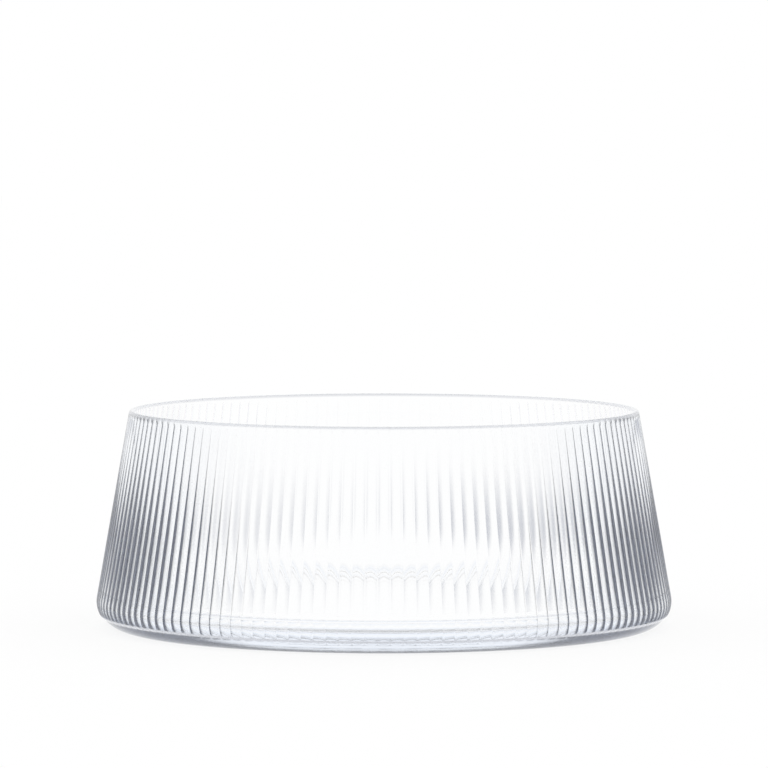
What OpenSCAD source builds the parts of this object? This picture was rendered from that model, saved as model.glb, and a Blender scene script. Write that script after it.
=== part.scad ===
// Reeded glass salad bowl, blown in one piece: a broad foot with a thick base, a wall that leans
// in to a plain rim, and upright reeds all round the outside, which end in a scalloped shoulder
// above a smooth foot. The origin is at the centre of the underside, with +Z up through the
// mouth. Millimetres.

/* [Bowl] */
// Diameter of the rim, over the reeds
rim_d = 230; // [180:1:280]
// Height from the table to the rim
height = 98; // [80:1:120]
// Lean of the wall, in degrees from upright
wall_lean = 10; // [6:0.5:14]
// Radius of the round corner where the wall turns under
corner_r = 12; // [9:0.5:15]

/* [Glass] */
// Thickness of the wall at the rim, over a reed
rim_t = 2.4; // [2.2:0.1:4]
// Thickness of the wall at the foot, over a reed
foot_t = 3.6; // [3:0.1:6]
// Thickness of the base
base_t = 13; // [6:0.5:16]
// Radius of the corner inside, between the floor and the wall
floor_r = 3.5; // [2:0.5:10]
// Rounding of the rim, on each side
lip_r = 0.6; // [0.3:0.1:0.6]

/* [Reeds] */
// Number of reeds round the bowl
reed_count = 144; // [100:4:160]
// Depth of the valleys between the reeds, where the bowl is widest
reed_depth = 0.8; // [0.4:0.05:1.1]
// Height above the table at which the reeds end
reed_end = 6; // [4:0.5:9]
// Flats across the round of one reed
reed_flats = 4; // [2:2:4]

/* [Underside] */
// Width of the flat ring that the bowl stands on
ring_w = 11; // [6:0.5:16]
// Depth of the shallow hollow inside that ring
hollow_depth = 1; // [0.5:0.1:2]

/* [Hidden] */
$fn = 128;
glass = [0.84, 0.88, 0.94, 0.5];

// Angle below level at which the corner meets the table
foot_turn = 75;
// Steps that make the turn of the corner, under the end of the reeds and above it
corner_steps = 3;
// Width of the slope at the edge of the hollow underneath
hollow_slope = 6;
// How far the cavity runs on above the rim
clear = 5;

rim_r = rim_d / 2;
corner_z = corner_r * sin(foot_turn);
wall_foot_z = corner_z + corner_r * sin(wall_lean);
corner_x = wall_r(wall_foot_z) - corner_r * cos(wall_lean);
widest_r = corner_x + corner_r;

inner_rim_r = rim_r - rim_t / cos(wall_lean);
inner_foot_r = wall_r(wall_foot_z) - foot_t / cos(wall_lean);
inner_slope = (inner_foot_r - inner_rim_r) / (height - wall_foot_z);
inner_lean = atan(inner_slope);
floor_corner_z = base_t + floor_r;
floor_corner_x = inner_r(floor_corner_z + floor_r * sin(inner_lean)) - floor_r * cos(inner_lean);

// Radius over the reeds on the straight wall, and radius of the inside, at height z
function wall_r(z) = rim_r + (height - z) * tan(wall_lean);
function inner_r(z) = inner_rim_r + (height - z) * inner_slope;

// Point of an arc in the plane of the profile, at an angle above level
function arc_point(x, z, r, angle) = [x + r * cos(angle), z + r * sin(angle)];

// Point of the corner at an angle above level, with the reeds or, at the level of their valleys,
// without them. Each is radius, height and whether it is reeded.
function reeded_point(angle) = concat(arc_point(corner_x, corner_z, corner_r, angle), 1);
function smooth_point(angle) = concat(arc_point(corner_x - reed_depth, corner_z, corner_r, angle), 0);
function corner_angle(z) = asin((z - corner_z) / corner_r);

// Half profile from the table round the corner and up to the rim. The reeds stand proud of the
// smooth foot, and each ends in a shoulder that slopes in by the depth of the valleys.
smooth_top = corner_angle(reed_end - reed_depth);
reeded_foot = corner_angle(reed_end);
smooth_step = (smooth_top + foot_turn) / corner_steps;
reeded_step = (wall_lean - reeded_foot) / corner_steps;
profile = [
    for (i = [0:corner_steps]) smooth_point(i * smooth_step - foot_turn),
    for (i = [0:corner_steps]) reeded_point(i * reeded_step + reeded_foot),
    [wall_r(height - lip_r), height - lip_r, 1],
    [rim_r - lip_r, height, 1]
];

// One level of the outside, for a radius of 1. across runs over a reed from -0.5 to 0.5, with
// the crest at 0 and a sharp valley at each end; reeded is 1 with reeds and 0 without.
function dip(across) = reed_depth / widest_r * pow(2 * across, 2);
function outline(reeded) = [
    for (reed = [0:reed_count - 1])
        for (flat = [0:reed_flats - 1])
            let (across = flat / reed_flats - 0.5, turns = (reed + across) * 360 / reed_count)
                (1 - reeded * dip(across)) * [cos(turns), sin(turns)]
];

// Faces between two neighbouring points of one level, low and low_next, and those n further on
// in the level above. The shoulder isn't flat from point to point, so it is cut in triangles,
// which mirror each other on the two flanks of a reed.
function side_faces(low, low_next, n, flat, rising) =
    flat ? [[low, low + n, low_next + n, low_next]]
    : rising ? [[low, low + n, low_next + n], [low, low_next + n, low_next]]
    : [[low, low + n, low_next], [low + n, low_next + n, low_next]];

// A skin is stretched from level to level and closed with a fan at the foot and at the rim
module reeded_block() {
    outlines = [outline(0), outline(1)];
    n = reed_count * reed_flats;
    rings = len(profile);
    foot_centre = rings * n;
    rim_centre = foot_centre + 1;
    rim_ring = (rings - 1) * n;
    points = concat(
        [
            for (level = profile)
                for (p = outlines[level[2]])
                    [level[0] * p[0], level[0] * p[1], level[1]]
        ],
        [[0, 0, 0], [0, 0, height]]
    );
    sides = [
        for (ring = [0:rings - 2])
            for (k = [0:n - 1])
                let (
                    low = ring * n + k,
                    low_next = ring * n + (k + 1) % n,
                    flat = profile[ring][2] == profile[ring + 1][2],
                    rising = k % reed_flats < reed_flats / 2
                )
                    each side_faces(low, low_next, n, flat, rising)
    ];
    foot = [for (k = [0:n - 1]) [foot_centre, k, (k + 1) % n]];
    rim = [for (k = [0:n - 1]) [rim_centre, rim_ring + (k + 1) % n, rim_ring + k]];
    polyhedron(points = points, faces = concat(sides, foot, rim), convexity = 6);
}

// Smooth inside, turned about the middle: level floor, round corner, leaning wall, eased rim
module cavity() {
    wall_start = arc_point(floor_corner_x, floor_corner_z, floor_r, inner_lean);
    rotate_extrude() {
        polygon([
            [0, base_t],
            [floor_corner_x, base_t],
            [floor_corner_x, floor_corner_z],
            wall_start,
            [inner_r(height - lip_r), height - lip_r],
            [inner_rim_r + lip_r, height],
            [inner_rim_r + lip_r, height + clear],
            [0, height + clear]
        ]);
        translate([floor_corner_x, floor_corner_z])
            circle(r = floor_r);
    }
}

// Shallow hollow under the base, which leaves a ring to stand on
module hollow() {
    ring_inside = profile[0][0] - ring_w;
    translate([0, 0, -clear])
        cylinder(r = ring_inside, h = clear);
    cylinder(r1 = ring_inside, r2 = ring_inside - hollow_slope, h = hollow_depth);
}

module bowl() {
    color(glass)
        difference() {
            reeded_block();
            cavity();
            hollow();
        }
}

bowl();
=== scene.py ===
import math

import bmesh
import bpy
from bpy.props import FloatProperty, FloatVectorProperty, IntProperty, PointerProperty
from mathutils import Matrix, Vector


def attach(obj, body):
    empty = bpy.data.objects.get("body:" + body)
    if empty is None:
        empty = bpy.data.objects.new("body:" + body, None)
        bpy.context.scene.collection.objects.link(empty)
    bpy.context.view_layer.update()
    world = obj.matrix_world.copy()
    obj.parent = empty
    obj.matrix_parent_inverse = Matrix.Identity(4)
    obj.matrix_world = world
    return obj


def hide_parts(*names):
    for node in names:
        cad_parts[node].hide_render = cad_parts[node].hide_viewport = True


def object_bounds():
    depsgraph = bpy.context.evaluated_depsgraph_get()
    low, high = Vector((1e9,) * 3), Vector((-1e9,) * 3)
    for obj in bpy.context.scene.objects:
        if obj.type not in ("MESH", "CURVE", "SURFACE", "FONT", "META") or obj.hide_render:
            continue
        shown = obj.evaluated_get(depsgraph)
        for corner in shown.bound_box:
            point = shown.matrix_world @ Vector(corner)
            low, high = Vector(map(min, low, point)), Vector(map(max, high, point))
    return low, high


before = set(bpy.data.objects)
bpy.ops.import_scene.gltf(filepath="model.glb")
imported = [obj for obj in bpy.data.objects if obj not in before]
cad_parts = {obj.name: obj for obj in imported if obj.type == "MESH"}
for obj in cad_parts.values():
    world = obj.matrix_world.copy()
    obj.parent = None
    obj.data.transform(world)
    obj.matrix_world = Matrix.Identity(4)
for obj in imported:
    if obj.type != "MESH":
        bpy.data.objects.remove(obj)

bl_info = {
    "name": "Reeded Glass Bowl",
    "version": (1, 0, 0),
    "blender": (4, 5, 0),
    "location": "View3D > Sidebar > Bowl",
    "description": "Turns a reeded glass salad bowl from its profile and sets it on a white table",
    "category": "Add Mesh",
}

# The size that the solid model gives the bowl, before anything is added to it
CAD_BOX = [list(corner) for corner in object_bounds()]
WIDEST = CAD_BOX[1][0]
HEIGHT = CAD_BOX[1][2]


class BowlSizes(bpy.types.PropertyGroup):
    """Sizes of the blown bowl"""

    widest_radius: FloatProperty(
        name="Widest radius",
        description="Radius over the reeds where the wall turns in under the bowl",
        default=WIDEST, min=0.09, max=0.16, precision=4, unit="LENGTH")
    height: FloatProperty(
        name="Height",
        description="From the table to the top of the rim",
        default=HEIGHT, min=0.06, max=0.14, precision=4, unit="LENGTH")
    rim_radius: FloatProperty(
        name="Rim radius",
        description="Radius over the reeds at the rim",
        default=0.115, min=0.08, max=0.15, precision=4, unit="LENGTH")
    corner_radius: FloatProperty(
        name="Corner radius",
        description="Radius of the corner where the wall turns under",
        default=0.012, min=0.006, max=0.02, precision=4, unit="LENGTH")
    rim_glass: FloatProperty(
        name="Glass at the rim",
        description="Thickness of the wall at the rim, over a reed",
        default=0.0024, min=0.0015, max=0.005, precision=4, unit="LENGTH")
    foot_glass: FloatProperty(
        name="Glass at the foot",
        description="Thickness of the wall at the foot, over a reed",
        default=0.0036, min=0.002, max=0.008, precision=4, unit="LENGTH")
    base_glass: FloatProperty(
        name="Glass of the base",
        description="Thickness of the base, from the table to the floor of the bowl",
        default=0.013, min=0.006, max=0.016, precision=4, unit="LENGTH")
    floor_radius: FloatProperty(
        name="Inner corner radius",
        description="Radius between the floor and the wall inside",
        default=0.0035, min=0.002, max=0.01, precision=4, unit="LENGTH")
    ring_width: FloatProperty(
        name="Standing ring",
        description="Width of the flat ring that the bowl stands on",
        default=0.011, min=0.004, max=0.02, precision=4, unit="LENGTH")
    hollow_depth: FloatProperty(
        name="Hollow under the base",
        description="Depth of the shallow hollow inside the standing ring",
        default=0.001, min=0.0, max=0.003, precision=4, unit="LENGTH")


class ReedSizes(bpy.types.PropertyGroup):
    """The reeds pressed into the outside"""

    count: IntProperty(
        name="Reeds",
        description="Number of reeds round the bowl",
        default=144, min=40, max=200)
    depth: FloatProperty(
        name="Reed depth",
        description="Depth of the valleys between the reeds at the widest place",
        default=0.0008, min=0.0, max=0.002, precision=5, unit="LENGTH")
    end: FloatProperty(
        name="End of the reeds",
        description="Height above the table at which the reeds end in a shoulder",
        default=0.006, min=0.004, max=0.009, precision=4, unit="LENGTH")
    columns: IntProperty(
        name="Columns in a reed",
        description="Columns of faces across one reed",
        default=10, min=4, max=12, step=2)
    fade: FloatProperty(
        name="Fade at the rim",
        description="Height below the lip over which fire polishing melts the reeds away",
        default=0.0022, min=0.0005, max=0.01, precision=4, unit="LENGTH")
    waviness: FloatProperty(
        name="Waviness",
        description="How far the blown surface strays from true",
        default=0.00004, min=0.0, max=0.0005, precision=5, unit="LENGTH")
    seed: IntProperty(
        name="Seed",
        description="Picks the pattern of the waviness",
        default=4, min=0, max=100)


class GlassLook(bpy.types.PropertyGroup):
    """Colour, painted shade and polish of the glass"""

    wall_tint: FloatVectorProperty(
        name="Tint of the wall",
        description="Colour of the thin glass of the wall",
        default=(0.996, 0.998, 1.0), min=0.0, max=1.0, subtype="COLOR", size=3)
    # Painted shade: the wall is painted darker at the sides, where it slants away from the eye
    side_painted_shade: FloatVectorProperty(
        name="Painted shade of the sides",
        description="Colour of the wall at the sides, where the eye meets it at a slant",
        default=(0.93, 0.96, 1.0), min=0.0, max=1.0, subtype="COLOR", size=3)
    base_tint: FloatVectorProperty(
        name="Tint of the base",
        description="Colour of the thick glass of the base and the foot",
        default=(0.81, 0.87, 0.97), min=0.0, max=1.0, subtype="COLOR", size=3)
    # The thick base's blue, deepened with painted shade at the sides of the foot
    foot_blue_and_shade: FloatVectorProperty(
        name="Blue and painted shade of the foot",
        description="Colour of the foot at the sides, where the eye looks along the thick base",
        default=(0.26, 0.32, 0.5), min=0.0, max=1.0, subtype="COLOR", size=3)
    # Painted shade: near black painted on reed flanks that turn from the eye, for the dark room
    # seen through them
    flank_painted_shade: FloatVectorProperty(
        name="Painted shade of the flanks",
        description="Colour of the flanks of the reeds that turn away from the eye",
        default=(0.011, 0.0145, 0.027), min=0.0, max=1.0, subtype="COLOR", size=3)
    # How much painted shade the sides of the bowl add to the flanks
    side_shade_share: FloatProperty(
        name="Sides",
        description="How much the sides of the bowl add to the tint of the flanks",
        default=0.17, min=0.0, max=1.0, precision=2)
    # Painted shade: grey lines painted along the lip and along the shoulder where the reeds end
    edge_painted_line: FloatVectorProperty(
        name="Painted lines of the edges",
        description="Colour of the lip and of the line where the reeds end",
        default=(0.5, 0.52, 0.58), min=0.0, max=1.0, subtype="COLOR", size=3)
    refraction: FloatProperty(
        name="Index of refraction",
        description="How strongly the glass bends light",
        default=1.5, min=1.3, max=1.8, precision=2)
    polish: FloatProperty(
        name="Roughness",
        description="Roughness of the fire polished surface",
        default=0.012, min=0.0, max=0.3, precision=3, subtype="FACTOR")


class StageSetup(bpy.types.PropertyGroup):
    """Table, dark cards, light and camera"""

    table_colour: FloatVectorProperty(
        name="Table",
        description="Colour of the table and the background",
        default=(0.92, 0.92, 0.92), min=0.0, max=1.0, subtype="COLOR", size=3)
    table_glow: FloatProperty(
        name="Table glow",
        description="Share of the table's white that shadows don't reach",
        default=0.88, min=0.0, max=1.0, subtype="FACTOR")
    ceiling: FloatProperty(
        name="Ceiling",
        description="Grey of the room overhead, which draws the rim",
        default=0.25, min=0.0, max=1.0, subtype="FACTOR")
    card_distance: FloatProperty(
        name="Card distance",
        description="Distance of the dark cards from the middle of the bowl",
        default=0.30, min=0.2, max=2.0, unit="LENGTH")
    card_lift: FloatProperty(
        name="Card lift",
        description="Height above the table at which the dark cards begin",
        default=0.008, min=0.0, max=0.5, precision=4, unit="LENGTH")
    card_height: FloatProperty(
        name="Card height",
        description="Height above the table at which the dark cards end",
        default=0.06, min=0.01, max=1.0, unit="LENGTH")
    card_fade: FloatProperty(
        name="Card fade",
        description="Share of a card's height over which it fades out at the top; over the rest it "
                    "fades out at the bottom",
        default=0.7, min=0.05, max=0.95, subtype="FACTOR")
    card_grey: FloatProperty(
        name="Card grey",
        description="How light the dark cards are in red; green and blue follow from it",
        default=0.03, min=0.0, max=1.0, subtype="FACTOR")
    camera_distance: FloatProperty(
        name="Camera distance",
        description="Distance of the camera in front of the bowl",
        default=2.76, min=0.5, max=10.0, unit="LENGTH")
    camera_height: FloatProperty(
        name="Camera height",
        description="Height of the camera above the table",
        default=0.281, min=0.0, max=3.0, unit="LENGTH")
    aim_height: FloatProperty(
        name="Aim height",
        description="Height above the table at the middle of the picture",
        default=0.1095, min=0.0, max=1.0, precision=4, unit="LENGTH")
    lens: FloatProperty(
        name="Focal length",
        description="Focal length on a sensor 36 mm wide",
        default=287.0, min=10.0, max=500.0, unit="CAMERA")


# Small helpers for node trees

def put(tree, socket, value):
    """Links a socket to another one, or sets its plain value."""
    if isinstance(value, bpy.types.NodeSocket):
        tree.links.new(value, socket)
    else:
        socket.default_value = value


def add(tree, kind, inputs=None, **settings):
    """Adds a node, sets its options, then its inputs by name or number."""
    node = tree.nodes.new(kind)
    for name, value in settings.items():
        setattr(node, name, value)
    for key, value in (inputs or {}).items():
        put(tree, node.inputs[key], value)
    return node


def calc(tree, operation, *values):
    """Math node in either kind of tree; returns its output socket."""
    node = tree.nodes.new("ShaderNodeMath")
    node.operation = operation
    for number, value in enumerate(values):
        put(tree, node.inputs[number], value)
    return node.outputs[0]


def times(tree, first, *others):
    """Product of two or more values."""
    for other in others:
        first = calc(tree, "MULTIPLY", first, other)
    return first


def ramp(tree, value, low, high, start=0.0, end=1.0):
    """Smooth change from start to end while the value goes from low to high."""
    return add(tree, "ShaderNodeMapRange", {
        "Value": value, "From Min": low, "From Max": high, "To Min": start, "To Max": end},
        interpolation_type="SMOOTHSTEP").outputs[0]


def cleared_tree(holder):
    """Node tree of a new material or world, without the nodes that it starts with."""
    holder.use_nodes = True
    holder.node_tree.nodes.clear()
    return holder.node_tree


# The profile of the bowl

# Rows of faces along each stretch of the profile
SLOPE_ROWS = 6
CORNER_ROWS = 6
WALL_ROWS = 6
MELT_ROWS = 4
LIP_ROWS = 11
INSIDE_ROWS = 5
INNER_CORNER_ROWS = 9

# Places of the rows on the hollow underneath and on the floor, as shares of their radius
HOLLOW_SHARES = (0.3, 0.6, 0.8)
FLOOR_SHARES = (0.8, 0.55, 0.3)

# Places of the rows on the rounded ends of the reeds, as shares of their height
REED_END_SHARES = (0.3, 0.65)

# Angle below level at which the corner meets the table
FOOT_TURN = math.radians(75.0)

# Width of the soft slope at the edge of the hollow underneath
HOLLOW_SLOPE = 0.008

# Share of the reeds that is left where the lip begins, and the rows of the lip that lose it
REEDS_AT_LIP = 0.2
LIP_FADE_ROWS = 4

# Rounds of correction in which the lean of the inner wall settles
LEAN_ROUNDS = 4


def arc(centre, radius, start, end, steps):
    """Points of an arc in the plane of the profile, angles in radians above level."""
    turn = (end - start) / steps
    return [(centre[0] + radius * math.cos(start + i * turn),
             centre[1] + radius * math.sin(start + i * turn)) for i in range(steps + 1)]


def between(a, b, steps):
    """Points that divide the straight line from a to b, without its ends."""
    return [(a[0] + (b[0] - a[0]) * i / steps, a[1] + (b[1] - a[1]) * i / steps)
            for i in range(1, steps)]


def smooth_step(t):
    """Smooth change from 0 to 1 while t goes from 0 to 1."""
    t = min(max(t, 0.0), 1.0)
    return t * t * (3.0 - 2.0 * t)


def corner_angle(sizes, corner, z):
    """Angle above level of the place at height z on the round corner."""
    return math.asin((z - corner[1]) / sizes.corner_radius)


def underside_rows(sizes, ring_edge):
    """Shallow hollow, soft slope and standing ring, from the middle outwards."""
    ring_inside = ring_edge - sizes.ring_width
    slope_inside = ring_inside - HOLLOW_SLOPE
    rows = [(0.0, sizes.hollow_depth, 0.0)]
    rows += [(share * slope_inside, sizes.hollow_depth, 0.0) for share in HOLLOW_SHARES]
    for i in range(SLOPE_ROWS + 1):
        z = sizes.hollow_depth * (1.0 - smooth_step(i / SLOPE_ROWS))
        rows.append((slope_inside + HOLLOW_SLOPE * i / SLOPE_ROWS, z, 0.0))
    rows.append((ring_inside + 0.5 * sizes.ring_width, 0.0, 0.0))
    return rows


def foot_rows(sizes, reeds, corner):
    """Smooth foot at the level of the valleys, then the rounded ends of the reeds."""
    smooth_corner = (corner[0] - reeds.depth, corner[1])
    smooth_top = reeds.end - reeds.depth
    foot = arc(smooth_corner, sizes.corner_radius, -FOOT_TURN,
               corner_angle(sizes, corner, smooth_top), CORNER_ROWS)
    rows = [(r, z, 0.0) for r, z in foot]
    for share in REED_END_SHARES:
        z = smooth_top + share * reeds.depth
        proud = math.sqrt(1.0 - (1.0 - share) ** 2)
        r = smooth_corner[0] + sizes.corner_radius * math.cos(corner_angle(sizes, corner, z))
        rows.append((r + proud * reeds.depth, z, proud))
    return rows


def wall_rows(sizes, reeds, foot, top, lean):
    """Straight outer wall from its foot to the lip, without its ends. Below the lip the reeds
    melt away."""
    melt_z = sizes.height - reeds.fade - 0.5 * sizes.rim_glass
    melt = (foot[0] - (melt_z - foot[1]) * math.tan(lean), melt_z)
    rows = [(r, z, 1.0) for r, z in between(foot, melt, WALL_ROWS)]
    rows.append((*melt, 1.0))
    loss = 1.0 - REEDS_AT_LIP
    rows += [(r, z, 1.0 - loss * smooth_step((z - melt_z) / reeds.fade))
             for r, z in between(melt, top, MELT_ROWS)]
    return rows


def inside_rows(sizes, top, foot, lean):
    """Inside from below the lip: straight wall, round corner, level floor to its middle."""
    floor_z = sizes.base_glass
    fillet_z = floor_z + sizes.floor_radius
    touch_z = fillet_z + sizes.floor_radius * math.sin(lean)
    touch_r = foot[0] + (foot[1] - touch_z) * math.tan(lean)
    fillet = (touch_r - sizes.floor_radius * math.cos(lean), fillet_z)
    points = between(top, (touch_r, touch_z), INSIDE_ROWS)
    points += arc(fillet, sizes.floor_radius, lean, -0.5 * math.pi, INNER_CORNER_ROWS)
    points += [(share * fillet[0], floor_z) for share in FLOOR_SHARES]
    points.append((0.0, floor_z))
    return [(r, z, 0.0) for r, z in points]


def profile_rows(sizes, reeds):
    """Half profile from the middle of the underside, up the outside, over the rim and down to
    the middle of the floor. Each row is radius, height and how strongly it is reeded."""
    corner = (sizes.widest_radius - sizes.corner_radius,
              sizes.corner_radius * math.sin(FOOT_TURN))
    ring_edge = corner[0] - reeds.depth + sizes.corner_radius * math.cos(FOOT_TURN)

    # Lean of the straight wall, which runs from the rim and touches the corner
    run = sizes.rim_radius - corner[0]
    rise = sizes.height - corner[1]
    lean = math.atan2(rise, run) - math.acos(sizes.corner_radius / math.hypot(run, rise))

    turned = arc(corner, sizes.corner_radius, corner_angle(sizes, corner, reeds.end), lean,
                 CORNER_ROWS)
    foot = turned[-1]

    # Middle of the lip, which is a full round between the two walls
    lip_r = 0.5 * sizes.rim_glass
    lip_z = sizes.height - lip_r
    wall_at_lip = foot[0] - (lip_z - foot[1]) * math.tan(lean)
    lip = (wall_at_lip - lip_r / math.cos(lean), lip_z)

    # The glass is thicker towards the foot, so the inner wall leans a little less
    inner_foot = (foot[0] - sizes.foot_glass / math.cos(lean), foot[1])
    inner_lean = lean
    for _ in range(LEAN_ROUNDS):
        inner_top = (lip[0] - lip_r * math.cos(inner_lean), lip_z - lip_r * math.sin(inner_lean))
        inner_lean = math.atan2(inner_foot[0] - inner_top[0], inner_top[1] - inner_foot[1])

    rim = arc(lip, lip_r, lean, math.pi + inner_lean, LIP_ROWS)
    rim_rows = [(r, z, REEDS_AT_LIP * (1.0 - smooth_step(i / LIP_FADE_ROWS)))
                for i, (r, z) in enumerate(rim)]
    return (underside_rows(sizes, ring_edge)
            + foot_rows(sizes, reeds, corner)
            + [(r, z, 1.0) for r, z in turned]
            + wall_rows(sizes, reeds, foot, rim[0], lean)
            + rim_rows
            + inside_rows(sizes, rim[-1], inner_foot, inner_lean))


# Turning the bowl and pressing its reeds

# How strongly the columns of a reed crowd towards its valleys; 1 would space them evenly
CROWDING = 1.35

# Scale of the slow waves in the blown surface, per metre
WAVE_SCALE = 38.0

# Distance within which points at the seam and at the two poles become one
MERGE_DISTANCE = 2e-6


def profile_sheet(tree, given):
    """Flat sheet with a row for each point of the profile, and the number of the column and of
    the row at each of its points."""
    columns = calc(tree, "MULTIPLY", given["Reed count"], given["Columns in a reed"])
    size = add(tree, "GeometryNodeAttributeDomainSize", {"Geometry": given["Profile"]})
    last_row = calc(tree, "SUBTRACT", size.outputs["Point Count"], 1.0)
    sheet = add(tree, "GeometryNodeMeshGrid", {
        "Size X": columns,
        "Size Y": last_row,
        "Vertices X": calc(tree, "ADD", columns, 1.0),
        "Vertices Y": size.outputs["Point Count"]}).outputs["Mesh"]
    here = add(tree, "ShaderNodeSeparateXYZ",
               {0: add(tree, "GeometryNodeInputPosition").outputs[0]}).outputs
    column = calc(tree, "ROUND", calc(tree, "MULTIPLY_ADD", columns, 0.5, here["X"]))
    row = calc(tree, "ROUND", calc(tree, "MULTIPLY_ADD", last_row, 0.5, here["Y"]))
    return sheet, column, row


def place_across_reed(tree, given, column):
    """Distance from the crest, from 0 to 1 at the valley, and angle round the bowl. Columns crowd
    towards the valleys."""
    along = calc(tree, "ADD", calc(tree, "DIVIDE", column, given["Columns in a reed"]), 0.5)
    reed = calc(tree, "FLOOR", along)
    across = calc(tree, "MULTIPLY_ADD", calc(tree, "SUBTRACT", along, reed), 2.0, -1.0)
    inward = calc(tree, "SUBTRACT", 1.0, calc(tree, "ABSOLUTE", across))
    crowded = calc(tree, "SUBTRACT", 1.0, calc(tree, "POWER", inward, CROWDING))
    side = calc(tree, "MULTIPLY", calc(tree, "SIGN", across), crowded)
    pitch = calc(tree, "DIVIDE", math.tau, given["Reed count"])
    angle = calc(tree, "MULTIPLY", calc(tree, "MULTIPLY_ADD", side, 0.5, reed), pitch)
    return crowded, angle


def reeded_place(tree, given, row, from_crest, angle):
    """Place round the bowl with the reeds pressed in. A reed is a parabola across, and as much
    shallower as the bowl is narrower."""
    profile = add(tree, "ShaderNodeSeparateXYZ", {0: add(tree, "GeometryNodeSampleIndex", {
        "Geometry": given["Profile"],
        "Value": add(tree, "GeometryNodeInputPosition").outputs[0],
        "Index": row}, data_type="FLOAT_VECTOR", domain="POINT").outputs[0]}).outputs
    reeding = add(tree, "GeometryNodeSampleIndex", {
        "Geometry": given["Profile"],
        "Value": add(tree, "GeometryNodeInputNamedAttribute", {"Name": "reeding"},
                     data_type="FLOAT").outputs[0],
        "Index": row}, data_type="FLOAT", domain="POINT").outputs[0]
    scaled = calc(tree, "DIVIDE", profile["X"], given["Widest radius"])
    dip = times(tree, calc(tree, "POWER", from_crest, 2.0), given["Reed depth"], scaled, reeding)
    radius = calc(tree, "SUBTRACT", profile["X"], dip)
    return add(tree, "ShaderNodeCombineXYZ", {
        "X": calc(tree, "MULTIPLY", radius, calc(tree, "COSINE", angle)),
        "Y": calc(tree, "MULTIPLY", radius, calc(tree, "SINE", angle)),
        "Z": profile["Z"]}).outputs[0]


def blown_place(tree, given, place):
    """Place drawn in by a slow wave, because blown glass is never quite true."""
    wave = add(tree, "ShaderNodeTexNoise", {
        "Vector": place, "W": given["Seed"], "Scale": WAVE_SCALE, "Detail": 1.0},
        noise_dimensions="4D").outputs[0]
    depth = calc(tree, "DIVIDE", given["Waviness"], given["Widest radius"])
    drawn_in = calc(tree, "SUBTRACT", 1.0, calc(tree, "MULTIPLY", depth, wave))
    inwards = add(tree, "ShaderNodeCombineXYZ", {"X": drawn_in, "Y": drawn_in, "Z": 1.0})
    return add(tree, "ShaderNodeVectorMath", {0: place, 1: inwards.outputs[0]},
               operation="MULTIPLY").outputs[0]


def turn_and_reed_tree():
    """Geometry nodes that turn a profile round +Z and press reeds into its outside."""
    tree = bpy.data.node_groups.new("Turn and reed", "GeometryNodeTree")
    for name, kind in (
            ("Profile", "NodeSocketGeometry"),
            ("Reed count", "NodeSocketInt"),
            ("Columns in a reed", "NodeSocketInt"),
            ("Reed depth", "NodeSocketFloat"),
            ("Widest radius", "NodeSocketFloat"),
            ("Waviness", "NodeSocketFloat"),
            ("Seed", "NodeSocketInt"),
            ("Glass", "NodeSocketMaterial")):
        tree.interface.new_socket(name, in_out="INPUT", socket_type=kind)
    tree.interface.new_socket("Bowl", in_out="OUTPUT", socket_type="NodeSocketGeometry")

    given = add(tree, "NodeGroupInput").outputs
    sheet, column, row = profile_sheet(tree, given)
    from_crest, angle = place_across_reed(tree, given, column)
    place = blown_place(tree, given, reeded_place(tree, given, row, from_crest, angle))

    turned = add(tree, "GeometryNodeSetPosition", {"Geometry": sheet, "Position": place})
    closed = add(tree, "GeometryNodeMergeByDistance", {
        "Geometry": turned.outputs[0], "Distance": MERGE_DISTANCE})
    polished = add(tree, "GeometryNodeSetShadeSmooth", {"Geometry": closed.outputs[0]})
    real = add(tree, "GeometryNodeRealizeInstances", {"Geometry": polished.outputs[0]})
    glazed = add(tree, "GeometryNodeSetMaterial", {
        "Geometry": real.outputs[0], "Material": given["Glass"]})
    add(tree, "NodeGroupOutput", {"Bowl": glazed.outputs[0]})
    return tree


# The glass

# Radii between which the outside of the foot begins
FOOT_RADII = (0.118, 0.122)

# Heights between which the colour of the base, and the foot's deeper blue with painted shade, end
BASE_TOP = (0.006, 0.014)
FOOT_TOP = (0.005, 0.009)

# Unevenness of the base: scale per metre, detail, and how far its colour varies
CORD_SCALE = 60.0
CORD_DETAIL = 2.0
CORD_SPREAD = 0.3

# A turn is how far something turns away from the eye, from 0 for square on to 1 for edge on.
# Turns of a flank between which its painted shade comes in, and turns of the wall for the painted
# shade of the sides
FLANK_TURN = (0.28, 0.54)
SIDE_TURN = (0.1, 0.5)

# Turns of the line round the bowl from the sides, where a share is added to the turn of a flank,
# to the front, where a little is taken off
HOOP_TURN = (0.1, 0.65)
FRONT_LOSS = 0.05

# Turns of the wall between which the outline takes off a multiple of the share of the sides
OUTLINE_TURN = (0.6, 0.9)
OUTLINE_LOSS = 1.3

# What is taken off from a height up to the rim, and between two heights down to the foot
RIM_LOSS_START = 0.04
RIM_LOSS = 0.30
FOOT_LOSS_HEIGHTS = (0.005, 0.03)
FOOT_LOSS = 0.09

# Heights between which the smooth foot ends, and the share of the flanks' painted shade that it
# takes
SMOOTH_FOOT_TOP = (0.0045, 0.0065)
SMOOTH_FOOT_SHARE = 0.95

# How squarely a face has to look outwards to count as the outside of the bowl
OUTWARDS = (0.0, 0.2)

# Depths below the rim between which the painted dark line along the lip begins, and its strength
LIP_LINE = (0.0016, 0.0006)
LIP_STRENGTH = 0.6

# Distances from the middle of the shoulder between which the painted dark line along it ends
SHOULDER_LINE = (0.0003, 0.0009)

# Traces of handling in the polish: scale per metre and detail
HANDLING_SCALE = 25.0
HANDLING_DETAIL = 4.0


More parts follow.
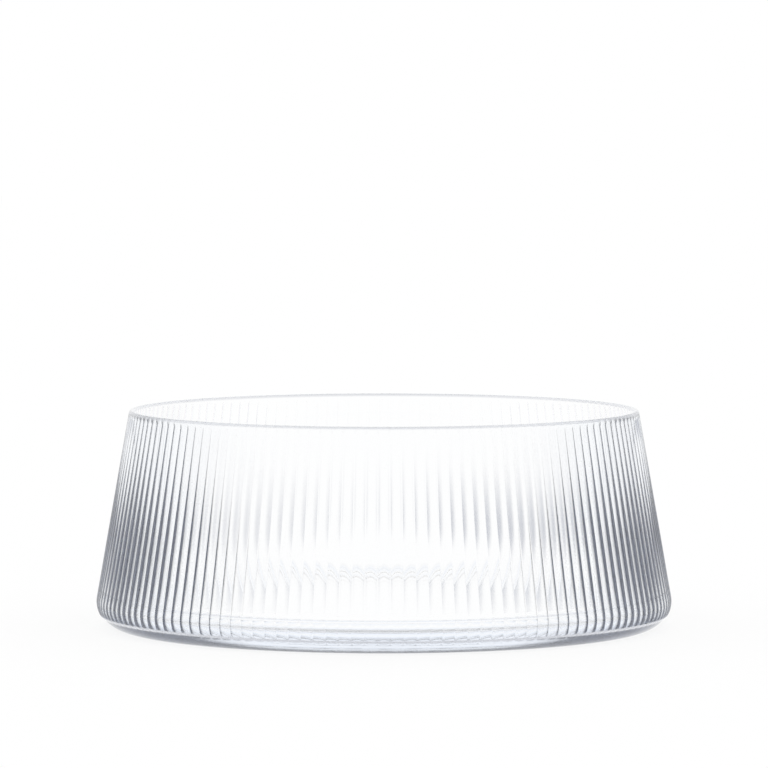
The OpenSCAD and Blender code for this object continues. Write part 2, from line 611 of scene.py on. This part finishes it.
def deepen_tint_and_shade(tree, colour, share, deeper):
    """Colour mixed towards a deeper one by a share, through the colour sockets of a Mix node."""
    mix = add(tree, "ShaderNodeMix", {"Factor": share, 6: colour, 7: (*deeper, 1.0)},
              data_type="RGBA")
    return mix.outputs[2]


def turn_from_eye(tree, **normal):
    """How far a face turns away from the eye, or a direction where one is given as Normal."""
    return add(tree, "ShaderNodeLayerWeight", {"Blend": 0.5, **normal}).outputs["Facing"]


def in_world(tree, direction):
    """A direction of the bowl as one of the world."""
    return add(tree, "ShaderNodeVectorTransform", {0: direction}, vector_type="NORMAL",
               convert_from="OBJECT", convert_to="WORLD").outputs[0]


def base_share(tree, place, height, outside):
    """Share of the base's colour. The eye meets the base edge on, so it shows on the foot."""
    cords = add(tree, "ShaderNodeTexNoise", {
        "Vector": place, "Scale": CORD_SCALE, "Detail": CORD_DETAIL}).outputs[0]
    uneven = calc(tree, "MULTIPLY_ADD", cords, CORD_SPREAD, 1.0 - 0.5 * CORD_SPREAD)
    return times(tree, outside, ramp(tree, height, *BASE_TOP, 1.0, 0.0), uneven)


def flank_and_side_shade_shares(tree, spot, look, sizes):
    """Shares of the painted shade on the flanks and on the sides. Flanks that turn away from the
    eye get a painted shade in place of the dark of the room seen through them: most at the sides of
    the bowl, less towards its outline, the rim and the foot, and only on the outside."""
    from_axis = add(tree, "ShaderNodeCombineXYZ", {"X": spot["X"], "Y": spot["Y"]}).outputs[0]
    spoke = add(tree, "ShaderNodeVectorMath", {0: from_axis}, operation="NORMALIZE").outputs[0]
    hoop = add(tree, "ShaderNodeVectorMath", {0: (0.0, 0.0, 1.0), 1: spoke},
               operation="CROSS_PRODUCT").outputs[0]
    spoke = in_world(tree, spoke)
    hoop = in_world(tree, hoop)

    surface = add(tree, "ShaderNodeNewGeometry").outputs
    facing_out = add(tree, "ShaderNodeVectorMath", {0: surface["Normal"], 1: spoke},
                     operation="DOT_PRODUCT").outputs["Value"]
    skin = calc(tree, "SUBTRACT", ramp(tree, facing_out, *OUTWARDS), surface["Backfacing"])
    skin = calc(tree, "MAXIMUM", skin, 0.0)

    height = spot["Z"]
    wall_turn = turn_from_eye(tree, Normal=spoke)
    sides = ramp(tree, turn_from_eye(tree, Normal=hoop), *HOOP_TURN, look.side_shade_share, -FRONT_LOSS)
    turn = calc(tree, "ADD", turn_from_eye(tree), sides)
    for loss in (
            ramp(tree, wall_turn, *OUTLINE_TURN, 0.0, OUTLINE_LOSS * look.side_shade_share),
            ramp(tree, height, RIM_LOSS_START, sizes.height, 0.0, RIM_LOSS),
            ramp(tree, height, *FOOT_LOSS_HEIGHTS, FOOT_LOSS, 0.0)):
        turn = calc(tree, "SUBTRACT", turn, loss)
    smooth_foot = ramp(tree, height, *SMOOTH_FOOT_TOP, SMOOTH_FOOT_SHARE, 1.0)
    # Painted shade on the flanks that turn from the eye
    flank_shade_share = times(tree, ramp(tree, turn, *FLANK_TURN), smooth_foot, skin)
    # Painted shade on the wall where it slants away from the eye at the sides
    side_shade_share = times(tree, ramp(tree, wall_turn, *SIDE_TURN), skin)
    return flank_shade_share, side_shade_share


def edge_shade_share(tree, height, outside, sizes, reeds):
    """Share of the painted shade on the edges: dark lines painted along the lip and along the
    shoulder where the reeds end."""
    lip_start, lip_end = (sizes.height - depth for depth in LIP_LINE)
    lip = ramp(tree, height, lip_start, lip_end, 0.0, LIP_STRENGTH)
    off_line = calc(tree, "ABSOLUTE", calc(
        tree, "SUBTRACT", height, reeds.end - 0.5 * reeds.depth))
    shoulder = times(tree, ramp(tree, off_line, *SHOULDER_LINE, 1.0, 0.0), outside)
    return calc(tree, "MAXIMUM", lip, shoulder)


def clear_glass(look, sizes, reeds):
    """Clear soda glass: almost white in the wall, cooler in the thick base, with painted shade
    along flanks that turn away from the eye, at the sides, on the foot and along the lip and
    shoulder, and faintly uneven."""
    glass = bpy.data.materials.new("Clear glass")
    tree = cleared_tree(glass)
    place = add(tree, "ShaderNodeTexCoord").outputs["Object"]
    spot = add(tree, "ShaderNodeSeparateXYZ", {0: place}).outputs
    height = spot["Z"]
    radius = calc(tree, "SQRT", calc(tree, "ADD", calc(tree, "POWER", spot["X"], 2.0),
                                     calc(tree, "POWER", spot["Y"], 2.0)))
    outside = ramp(tree, radius, *FOOT_RADII)

    flank_shade_share, side_shade_share = flank_and_side_shade_shares(tree, spot, look, sizes)
    # Painted shade at the sides of the foot, in the blue of the thick base
    foot_blue_and_shade_share = times(tree, side_shade_share, ramp(tree, height, *FOOT_TOP, 1.0, 0.0))
    # The glass's own tints of wall and base, with painted shade on the sides, the foot's sides, the
    # flanks, the lip and the shoulder
    tint = (*look.wall_tint, 1.0)
    for share, deeper in (
            (side_shade_share, look.side_painted_shade),
            (base_share(tree, place, height, outside), look.base_tint),
            (foot_blue_and_shade_share, look.foot_blue_and_shade),
            (flank_shade_share, look.flank_painted_shade),
            (edge_shade_share(tree, height, outside, sizes, reeds), look.edge_painted_line)):
        tint = deepen_tint_and_shade(tree, tint, share, deeper)

    # The noise is a half on average
    handling = add(tree, "ShaderNodeTexNoise", {
        "Vector": place, "Scale": HANDLING_SCALE, "Detail": HANDLING_DETAIL}).outputs[0]
    rough = calc(tree, "MULTIPLY", handling, 2.0 * look.polish)

    principled = add(tree, "ShaderNodeBsdfPrincipled", {
        "Base Color": tint,
        "Roughness": rough,
        "Metallic": 0.0,
        "IOR": look.refraction,
        "Transmission Weight": 1.0})
    add(tree, "ShaderNodeOutputMaterial", {"Surface": principled.outputs[0]})
    return glass


# Blowing the bowl

def profile_wire(rows):
    """Mesh of edges along the half profile, which holds the reeding of each point."""
    wire = bpy.data.meshes.new("Bowl profile")
    wire.from_pydata([(r, 0.0, z) for r, z, _ in rows],
                     [(i, i + 1) for i in range(len(rows) - 1)], [])
    reeding = wire.attributes.new("reeding", "FLOAT", "POINT")
    reeding.data.foreach_set("value", [row[2] for row in rows])
    return wire


def check_closed(mesh):
    """Raises an error where the mesh isn't closed."""
    check = bmesh.new()
    check.from_mesh(mesh)
    open_edges = sum(1 for edge in check.edges if not edge.is_manifold)
    check.free()
    if open_edges:
        raise RuntimeError(f"the bowl has {open_edges} edges that aren't closed")


class BOWL_OT_blow(bpy.types.Operator):
    """Turn the bowl from its profile, press the reeds into it and give it its glass"""

    bl_idname = "bowl.blow"
    bl_label = "Blow the Bowl"
    bl_options = {"REGISTER", "UNDO"}

    def execute(self, context):
        scene = context.scene
        sizes = scene.bowl_sizes
        reeds = scene.bowl_reeds
        wire = profile_wire(profile_rows(sizes, reeds))
        bowl = bpy.data.objects.new("Reeded_bowl", wire)
        scene.collection.objects.link(bowl)

        tree = turn_and_reed_tree()
        turning = bowl.modifiers.new("Turn and reed", "NODES")
        turning.node_group = tree
        values = {
            "Reed count": reeds.count,
            "Columns in a reed": reeds.columns,
            "Reed depth": reeds.depth,
            "Widest radius": sizes.widest_radius,
            "Waviness": reeds.waviness,
            "Seed": reeds.seed,
            "Glass": clear_glass(scene.bowl_glass, sizes, reeds),
        }
        for socket in tree.interface.items_tree:
            if socket.in_out == "INPUT" and socket.name in values:
                turning[socket.identifier] = values[socket.name]

        evaluated = bowl.evaluated_get(context.evaluated_depsgraph_get())
        blown = bpy.data.meshes.new_from_object(evaluated)
        bowl.modifiers.clear()
        bowl.data = blown
        blown.name = "Reeded_bowl"
        bpy.data.meshes.remove(wire)
        check_closed(blown)

        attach(bowl, "root")
        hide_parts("bowl")
        return {"FINISHED"}


# The stage

WHITE = (1.0, 1.0, 1.0, 1.0)

# Half the side of the table, and how far its top lies under the bowl
TABLE_HALF = 6.0
TABLE_GAP = 0.0003

# Dark cards behind the bowl: where each begins to show, is densest from, is densest to and has
# gone again, in degrees to the left of the far side of the table, and how dense it is
DARK_CARDS = (
    (16.0, 28.0, 36.0, 48.0, 0.34),
    (-14.0, -28.0, -38.0, -52.0, 0.6))

# Direction of the far side of the table, in degrees from +X
FAR_SIDE = 90.0

# Columns and rows of faces in a card
CARD_COLUMNS = 40
CARD_ROWS = 16

# Red, green and blue of the cards, as multiples of their grey
CARD_HUE = (1.0, 2.2, 6.0)

# Upward parts of a direction between which the room turns from white to the ceiling's grey
OVERHEAD = (0.84, 0.95)

# How many walls of glass, and how many cards, light may pass on its way
GLASS_BOUNCES = 96
CARD_BOUNCES = 32

SENSOR_WIDTH = 36.0
FAR_CLIP = 100.0


def seen_by_glass(tree, path):
    """1 for light that the glass mirrors or lets through, and 0 for other light."""
    return calc(tree, "MAXIMUM", path["Is Glossy Ray"], path["Is Transmission Ray"])


def table_paint(setup):
    """Matt white table that takes shadows and glows enough to reach the background's white."""
    paint = bpy.data.materials.new("Matt white table")
    tree = cleared_tree(paint)
    lit = [(1.0 - setup.table_glow) * value for value in setup.table_colour]
    matt = add(tree, "ShaderNodeBsdfDiffuse", {"Color": (*lit, 1.0)})
    path = add(tree, "ShaderNodeLightPath").outputs
    glow = add(tree, "ShaderNodeEmission", {
        "Color": WHITE,
        "Strength": calc(tree, "MULTIPLY", path["Is Camera Ray"], 1.0 - min(lit))})
    both = add(tree, "ShaderNodeAddShader", {0: matt.outputs[0], 1: glow.outputs[0]})
    white = add(tree, "ShaderNodeEmission", {"Color": WHITE, "Strength": 1.0})
    seen = add(tree, "ShaderNodeMixShader", {
        0: seen_by_glass(tree, path), 1: both.outputs[0], 2: white.outputs[0]})
    add(tree, "ShaderNodeOutputMaterial", {"Surface": seen.outputs[0]})
    return paint


def card_paint(setup):
    """Dark bluish grey, as dense as the card's own cover says."""
    paint = bpy.data.materials.new("Dark card")
    tree = cleared_tree(paint)
    cover = add(tree, "ShaderNodeAttribute", attribute_name="cover").outputs["Fac"]
    colour = [setup.card_grey * part for part in CARD_HUE]
    dark = add(tree, "ShaderNodeEmission", {"Color": (*colour, 1.0)})
    clear = add(tree, "ShaderNodeBsdfTransparent")
    mixed = add(tree, "ShaderNodeMixShader", {
        0: cover, 1: clear.outputs[0], 2: dark.outputs[0]})
    add(tree, "ShaderNodeOutputMaterial", {"Surface": mixed.outputs[0]})
    return paint


def plain_mesh(name, verts, faces, material):
    """A stage object from points and faces, marked as no part of the bowl."""
    mesh = bpy.data.meshes.new(name)
    mesh.from_pydata(verts, [], faces)
    mesh.materials.append(material)
    thing = bpy.data.objects.new(name, mesh)
    bpy.context.scene.collection.objects.link(thing)
    return thing


def lay_table(setup):
    """Wide flat table under the bowl."""
    corners = ((-1, -1), (1, -1), (1, 1), (-1, 1))
    plain_mesh("Table", [(x * TABLE_HALF, y * TABLE_HALF, -TABLE_GAP) for x, y in corners],
               [(0, 1, 2, 3)], table_paint(setup))


def hang_cards(setup):
    """Curved cards behind the bowl, dense in the middle and faded out at every edge. Only the
    glass shows them."""
    rise = setup.card_height - setup.card_lift
    verts, faces, covers = [], [], []
    for begins, dense_from, dense_to, gone, density in DARK_CARDS:
        first = len(verts)
        for column in range(CARD_COLUMNS + 1):
            turn = begins + (gone - begins) * column / CARD_COLUMNS
            cover = density * (smooth_step((turn - begins) / (dense_from - begins))
                               * smooth_step((gone - turn) / (gone - dense_to)))
            angle = math.radians(FAR_SIDE + turn)
            for row in range(CARD_ROWS + 1):
                up = row / CARD_ROWS
                verts.append((setup.card_distance * math.cos(angle),
                              setup.card_distance * math.sin(angle),
                              setup.card_lift + rise * up))
                covers.append(cover * (smooth_step(up / (1.0 - setup.card_fade))
                                       * smooth_step((1.0 - up) / setup.card_fade)))
        for column in range(CARD_COLUMNS):
            for row in range(CARD_ROWS):
                low = first + (CARD_ROWS + 1) * column + row
                next_low = low + CARD_ROWS + 1
                faces.append((low, next_low, next_low + 1, low + 1))

    cards = plain_mesh("Dark_cards", verts, faces, card_paint(setup))
    cover = cards.data.attributes.new("cover", "FLOAT", "POINT")
    cover.data.foreach_set("value", covers)
    cards.visible_camera = False
    cards.visible_diffuse = False
    cards.visible_shadow = False


def light_room(setup):
    """White all round, and greyer overhead for what the glass bends up."""
    world = bpy.data.worlds.new("Light room")
    tree = cleared_tree(world)
    way = add(tree, "ShaderNodeSeparateXYZ",
              {0: add(tree, "ShaderNodeTexCoord").outputs["Generated"]}).outputs
    overhead = ramp(tree, way["Z"], *OVERHEAD, 1.0, setup.ceiling)
    path = add(tree, "ShaderNodeLightPath").outputs
    bent = times(tree, seen_by_glass(tree, path), calc(tree, "SUBTRACT", overhead, 1.0))
    sky = add(tree, "ShaderNodeBackground", {
        "Color": WHITE, "Strength": calc(tree, "ADD", bent, 1.0)})
    add(tree, "ShaderNodeOutputWorld", {"Surface": sky.outputs[0]})
    return world


def aimed_camera(setup):
    """Camera in front of the bowl, aimed at a height above its middle."""
    lens = bpy.data.cameras.new("Camera")
    lens.sensor_width = SENSOR_WIDTH
    lens.lens = setup.lens
    lens.clip_end = FAR_CLIP
    camera = bpy.data.objects.new("Camera", lens)
    camera.location = (0.0, -setup.camera_distance, setup.camera_height)
    gaze = Vector((0.0, 0.0, setup.aim_height)) - camera.location
    camera.rotation_euler = gaze.to_track_quat("-Z", "Y").to_euler()
    return camera


class BOWL_OT_stage(bpy.types.Operator):
    """Set the table, the dark cards, the light and the camera"""

    bl_idname = "bowl.stage"
    bl_label = "Set the Stage"
    bl_options = {"REGISTER", "UNDO"}

    def execute(self, context):
        scene = context.scene
        setup = scene.bowl_stage
        lay_table(setup)
        hang_cards(setup)
        scene.world = light_room(setup)
        camera = aimed_camera(setup)
        scene.collection.objects.link(camera)
        scene.camera = camera

        scene.cycles.max_bounces = GLASS_BOUNCES
        scene.cycles.transmission_bounces = GLASS_BOUNCES
        scene.cycles.glossy_bounces = GLASS_BOUNCES
        scene.cycles.transparent_max_bounces = CARD_BOUNCES
        scene.view_settings.view_transform = "Standard"
        return {"FINISHED"}


class BOWL_PT_sidebar(bpy.types.Panel):
    """Sizes, glass and stage of the bowl"""

    bl_idname = "BOWL_PT_sidebar"
    bl_label = "Reeded Glass Bowl"
    bl_space_type = "VIEW_3D"
    bl_region_type = "UI"
    bl_category = "Bowl"

    def draw(self, context):
        for title, holder, operator in (
                ("Bowl", context.scene.bowl_sizes, None),
                ("Reeds", context.scene.bowl_reeds, None),
                ("Glass", context.scene.bowl_glass, "bowl.blow"),
                ("Stage", context.scene.bowl_stage, "bowl.stage")):
            box = self.layout.box()
            box.label(text=title)
            for name in holder.__annotations__:
                box.prop(holder, name)
            if operator:
                box.operator(operator)


CLASSES = (BowlSizes, ReedSizes, GlassLook, StageSetup, BOWL_OT_blow, BOWL_OT_stage,
           BOWL_PT_sidebar)


def register():
    for cls in CLASSES:
        bpy.utils.register_class(cls)
    bpy.types.Scene.bowl_sizes = PointerProperty(type=BowlSizes)
    bpy.types.Scene.bowl_reeds = PointerProperty(type=ReedSizes)
    bpy.types.Scene.bowl_glass = PointerProperty(type=GlassLook)
    bpy.types.Scene.bowl_stage = PointerProperty(type=StageSetup)


def unregister():
    for name in ("bowl_sizes", "bowl_reeds", "bowl_glass", "bowl_stage"):
        delattr(bpy.types.Scene, name)
    for cls in reversed(CLASSES):
        bpy.utils.unregister_class(cls)


def main():
    register()
    bpy.ops.bowl.blow()
    bpy.ops.bowl.stage()


if __name__ == "__main__":
    main()
